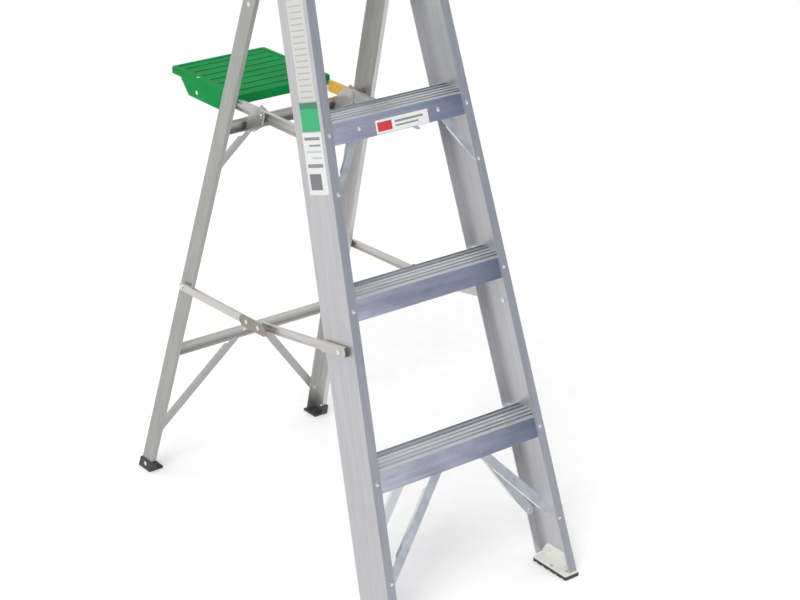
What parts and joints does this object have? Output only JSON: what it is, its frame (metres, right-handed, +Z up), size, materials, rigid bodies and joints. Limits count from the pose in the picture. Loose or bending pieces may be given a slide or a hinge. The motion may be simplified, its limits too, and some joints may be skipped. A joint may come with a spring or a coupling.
{
  "type": "step ladder",
  "caption": "Folding aluminium step ladder with channel rails, ribbed treads, a moulded top cap, folding spreaders, a braced rear section and a fold-out pail shelf.",
  "frame": {"origin": "middle of the ladder's footprint, on the floor", "axes": "+Z up, the climber stands on the -Y side and faces +Y, +X to the climber's right"},
  "size_m": [0.4442, 0.868, 1.1739],
  "materials": {
    "green_moulding": "satin moulded plastic",
    "black_rubber": "matt",
    "bright_rivet": "bright",
    "zinc_pin": "zinc plated",
    "cream_sleeve": "satin",
    "dark_zinc": "dark passivated zinc",
    "zinc_steel": "zinc plated",
    "tread_aluminium": "mill finish extrusion",
    "mill_aluminium": "mill finish"
  },
  "bodies": {
    "front_section": {"bottom_step_front_brace_left": "zinc_steel", "bottom_step_front_brace_right": "zinc_steel", "bottom_step_rear_brace_left": "zinc_steel", "bottom_step_rear_brace_right": "zinc_steel", "brace_rivets": "bright_rivet", "cap_pivot_bolts": "zinc_pin", "cap_rivets": "bright_rivet", "front_foot_bracket_left": "mill_aluminium", "front_foot_bracket_right": "mill_aluminium", "front_foot_pad_left": "black_rubber", "front_foot_pad_right": "black_rubber", "front_foot_rivets": "bright_rivet", "front_rail_left": "mill_aluminium", "front_rail_right": "mill_aluminium", "spreader_front_pivots": "zinc_pin", "step_1": "tread_aluminium", "step_2": "tread_aluminium", "step_3": "tread_aluminium", "step_clips": "zinc_steel", "step_rivets": "bright_rivet", "top_cap": "green_moulding", "top_step_knee_brace_left": "zinc_steel", "top_step_knee_brace_right": "zinc_steel"},
    "rear_section": {"hinge_strap_left": "zinc_steel", "hinge_strap_right": "zinc_steel", "rear_bar_lower": "mill_aluminium", "rear_bar_upper": "mill_aluminium", "rear_diagonal_lower_left": "zinc_steel", "rear_diagonal_lower_right": "zinc_steel", "rear_diagonal_upper_left": "zinc_steel", "rear_diagonal_upper_right": "zinc_steel", "rear_foot_left": "black_rubber", "rear_foot_right": "black_rubber", "rear_leg_left": "mill_aluminium", "rear_leg_right": "mill_aluminium", "rear_rivets": "bright_rivet", "shelf_bracket_left": "zinc_steel", "shelf_bracket_right": "zinc_steel", "shelf_pivot_pins": "bright_rivet", "spreader_rear_pivots": "zinc_pin"},
    "pail_shelf": {"shelf_arm_left": "mill_aluminium", "shelf_arm_right": "mill_aluminium", "shelf_rivets": "bright_rivet", "shelf_tray": "green_moulding"},
    "spreader_front_left": {"spreader_front_bar_left": "zinc_steel", "spreader_sleeve_left": "cream_sleeve"},
    "spreader_rear_left": {"spreader_rear_bar_left": "zinc_steel", "spreader_centre_plate_left": "dark_zinc", "spreader_plate_rivets_left": "bright_rivet"},
    "spreader_front_right": {"spreader_front_bar_right": "zinc_steel", "spreader_sleeve_right": "cream_sleeve"},
    "spreader_rear_right": {"spreader_rear_bar_right": "zinc_steel", "spreader_centre_plate_right": "dark_zinc", "spreader_plate_rivets_right": "bright_rivet"}
  },
  "joints": [
    {"name": "rear_fold", "type": "hinge", "parent": "front_section", "child": "rear_section", "pos_m": [0, 0.04377, 1.14991], "axis": [1, 0, 0], "range_deg": [-35.05, 0]},
    {"name": "spreader_front_left_pivot", "type": "hinge", "parent": "front_section", "child": "spreader_front_left", "pos_m": [-0.18301, -0.24015, 0.4999], "axis": [1, 0, 0], "range_deg": [0, 64.38]},
    {"name": "spreader_rear_left_pivot", "type": "hinge", "parent": "rear_section", "child": "spreader_rear_left", "pos_m": [-0.19148, 0.27262, 0.44695], "axis": [1, 0, 0], "range_deg": [-68.87, 0]},
    {"name": "spreader_front_right_pivot", "type": "hinge", "parent": "front_section", "child": "spreader_front_right", "pos_m": [0.18301, -0.24015, 0.4999], "axis": [1, 0, 0], "range_deg": [0, 64.38]},
    {"name": "spreader_rear_right_pivot", "type": "hinge", "parent": "rear_section", "child": "spreader_rear_right", "pos_m": [0.19148, 0.27262, 0.44695], "axis": [1, 0, 0], "range_deg": [-68.87, 0]},
    {"name": "pail_shelf_pivot", "type": "hinge", "parent": "rear_section", "child": "pail_shelf", "pos_m": [0, 0.12084, 0.815], "axis": [1, 0, 0], "range_deg": [0, 107.85]}
  ],
  "couplings": [
    {"joint": "spreader_front_left_pivot", "follows": "rear_fold", "ratio": -1.8353},
    {"joint": "spreader_rear_left_pivot", "follows": "rear_fold", "ratio": 1.9634},
    {"joint": "spreader_front_right_pivot", "follows": "rear_fold", "ratio": -1.8353},
    {"joint": "spreader_rear_right_pivot", "follows": "rear_fold", "ratio": 1.9634},
    {"joint": "pail_shelf_pivot", "follows": "rear_fold", "ratio": -3.0756}
  ]
}
